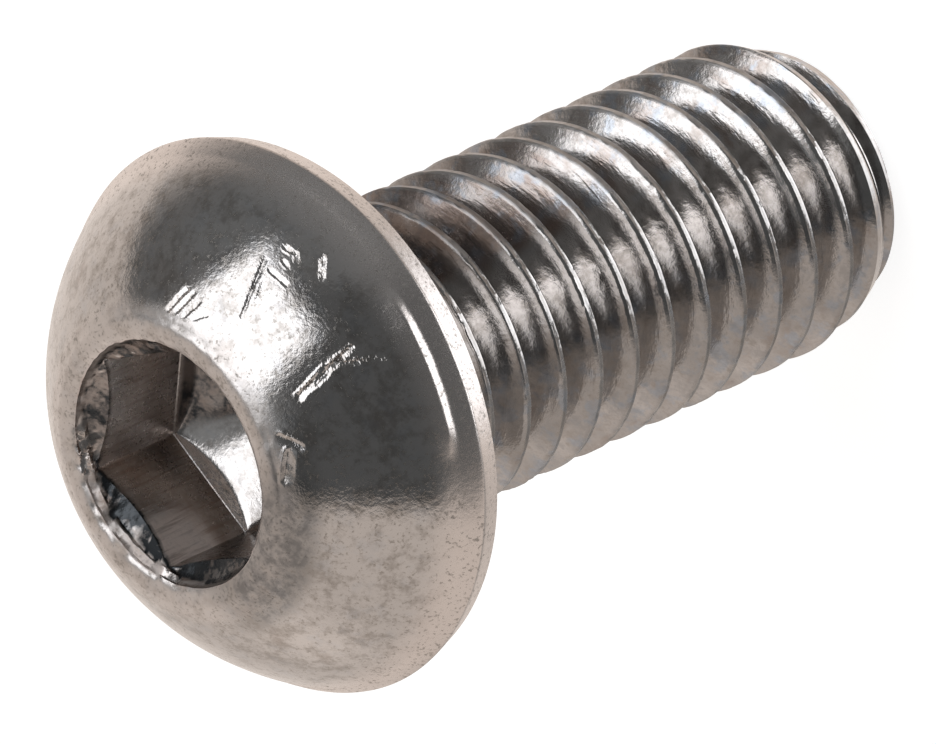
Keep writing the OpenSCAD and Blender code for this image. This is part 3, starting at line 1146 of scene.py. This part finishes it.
# Each panel has its middle (degrees to the right and up), half its width and height, its tilt and
# its soft edge, all in degrees. Then its tint and how bright it is, where 1 is paper white
PANELS = {
    "bright part of the table": ((-135, -60), (45, 12), 0, 30, WARM, 0.82),
    "shaded part of the table": ((125, -24), (48, 20), 0, 16, GREY, 0.34),
    "backdrop": ((180, 22), (47, 40), 0, 60, WARM, 0.85),
    "top of the backdrop": ((180, 66), (60, 20), 0, 24, WARM, 0.48),
    "ceiling": ((-20, 62), (75, 28), 0, 10, COOL, 0.17),
    "dark front": ((7, -7), (38, 40), 0, 8, COOL, 0.10),
    "dark wall beside the table": ((-40, -16), (11, 13), 0, 8, COOL, 0.26),
    "left softbox": ((-47, 15.5), (21.8, 21.8), 45, 7, WHITE, 1.95),
    "right softbox": ((70, 17), (21, 21), 45, 6, WHITE, 2.0),
    "rear softbox": ((122, 20), (18, 15), 0, 8, WHITE, 1.6),
    "card over the right softbox": ((88, 48), (16, 13), 0, 18, WARM, 0.45),
}
print(len(PANELS), "panels in the studio")


# %% Outline of a panel
def in_panel(tree, across, upward, middle, half, tilt, edge):
    """From 0 outside a panel to 1 inside it, for a direction given in degrees across and up."""
    aside = calc(tree, "WRAP", calc(tree, "SUBTRACT", across, middle[0]), 180.0, -180.0)
    above = calc(tree, "SUBTRACT", upward, middle[1])
    inside = 1.0
    for side, reach in zip((tilt, tilt + 90), half):
        side = math.radians(side)
        apart = calc(
            tree, "ADD",
            calc(tree, "MULTIPLY", aside, math.cos(side)),
            calc(tree, "MULTIPLY", above, math.sin(side)),
        )
        apart = calc(tree, "ABSOLUTE", apart)
        within = ease(tree, apart, reach + edge / 2, reach - edge / 2)
        inside = calc(tree, "MULTIPLY", inside, within)
    return inside


# %% Paint the studio
def paint_studio():
    """World shader: white behind the screw, and the studio in every other direction."""
    world = bpy.data.worlds.new("studio")
    world.use_nodes = True
    bpy.context.scene.world = world
    tree = world.node_tree
    tree.nodes.clear()
    way = node(tree, "TexCoord")
    way = node(tree, "VectorMath", way, operation="NORMALIZE")

    def along(axis):
        return dot(tree, way, axis)

    across = calc(tree, "ARCTAN2", along(picture_right), along(towards_camera))
    across = calc(tree, "DEGREES", across)
    upward = calc(tree, "DEGREES", calc(tree, "ARCSINE", along(picture_up)))
    table_up = TABLE_UP[0] * picture_right + TABLE_UP[1] * picture_up
    table_up += TABLE_UP[2] * towards_camera
    on_table = ease(tree, along(table_up), 0.04, -0.06)
    table = tuple(TABLE_LEVEL * part for part in WARM) + (1,)
    colour = mix(tree, on_table, (ROOM, ROOM, ROOM, 1), table)
    for middle, half, tilt, edge, tint, level in PANELS.values():
        inside = in_panel(tree, across, upward, middle, half, tilt, edge)
        paint = tuple(level * part for part in tint) + (1,)
        colour = mix(tree, inside, colour, paint)
    seen = node(tree, "LightPath")
    colour = mix(tree, seen.node.outputs["Is Camera Ray"], colour, (1, 1, 1, 1))
    background = node(tree, "Background", colour, 1.0)
    output = tree.nodes.new("ShaderNodeOutputWorld")
    tree.links.new(background, output.inputs[0])


paint_studio()
print(f"world: {len(bpy.context.scene.world.node_tree.nodes)} nodes")

# %% [markdown]
# ## Floor
# The screw stands on a pale floor, which runs out of the picture on every side. Part of its white
# is its own glow and the rest is light from the studio, so it keeps the screw's soft shadow.
# The polished metal doesn't mirror the floor, because it would hide the panels that lie lower.

# %% Pale floor
FLOOR_HALF = 3.0
FLOOR_GREY = 0.5
FLOOR_GLOW = 0.84


def pale_floor():
    """A wide pale plane under the end face of the screw."""
    half = FLOOR_HALF
    level = -SHANK_L * MM
    corners = [(-half, -half, level), (half, -half, level), (half, half, level), (-half, half, level)]
    mesh = bpy.data.meshes.new("floor")
    mesh.from_pydata(corners, [], [(0, 1, 2, 3)])
    floor = bpy.data.objects.new("floor", mesh)
    bpy.context.scene.collection.objects.link(floor)
    floor.visible_glossy = False
    floor.visible_shadow = False

    material = bpy.data.materials.new("pale_floor")
    material.use_nodes = True
    shader = material.node_tree.nodes["Principled BSDF"]
    shader.inputs["Base Color"].default_value = (FLOOR_GREY, FLOOR_GREY, FLOOR_GREY, 1)
    shader.inputs["Roughness"].default_value = 1
    shader.inputs["Specular IOR Level"].default_value = 0
    shader.inputs["Emission Color"].default_value = (1, 1, 1, 1)
    shader.inputs["Emission Strength"].default_value = FLOOR_GLOW
    mesh.materials.append(material)
    return floor


floor = pale_floor()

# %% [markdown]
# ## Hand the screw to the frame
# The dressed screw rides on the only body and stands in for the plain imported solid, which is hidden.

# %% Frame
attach(screw, "root")
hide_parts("screw")
